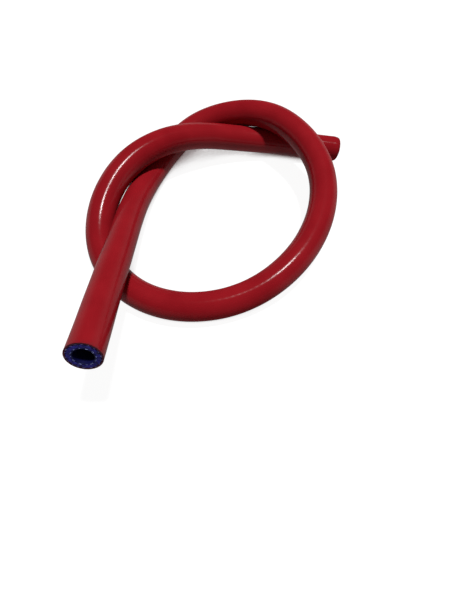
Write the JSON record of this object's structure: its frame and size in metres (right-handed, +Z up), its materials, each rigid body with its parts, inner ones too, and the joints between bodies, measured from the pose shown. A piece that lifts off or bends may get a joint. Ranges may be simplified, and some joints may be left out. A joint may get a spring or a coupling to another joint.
{
  "type": "reinforced silicone hose",
  "caption": "Fabric-reinforced red silicone hose with a blue inner wall, cut square at both ends and lying in a loose overhand knot.",
  "frame": {"origin": "centre of the bounding box's foot, on the surface that the hose lies on", "axes": "+Z up; -Y towards the near cut end, which stands clear of the surface; +X towards the far cut end"},
  "size_m": [0.2239, 0.2722, 0.071],
  "materials": {
    "red_silicone": "satin",
    "blue_silicone": "satin",
    "liner_silicone": "satin",
    "polyester_yarn": "matte"
  },
  "bodies": {
    "root": {"outer_cover": "red_silicone", "outer_yarn_ply": "polyester_yarn", "middle_wall": "blue_silicone", "inner_yarn_ply": "polyester_yarn", "inner_liner": "liner_silicone"}
  },
  "joints": []
}
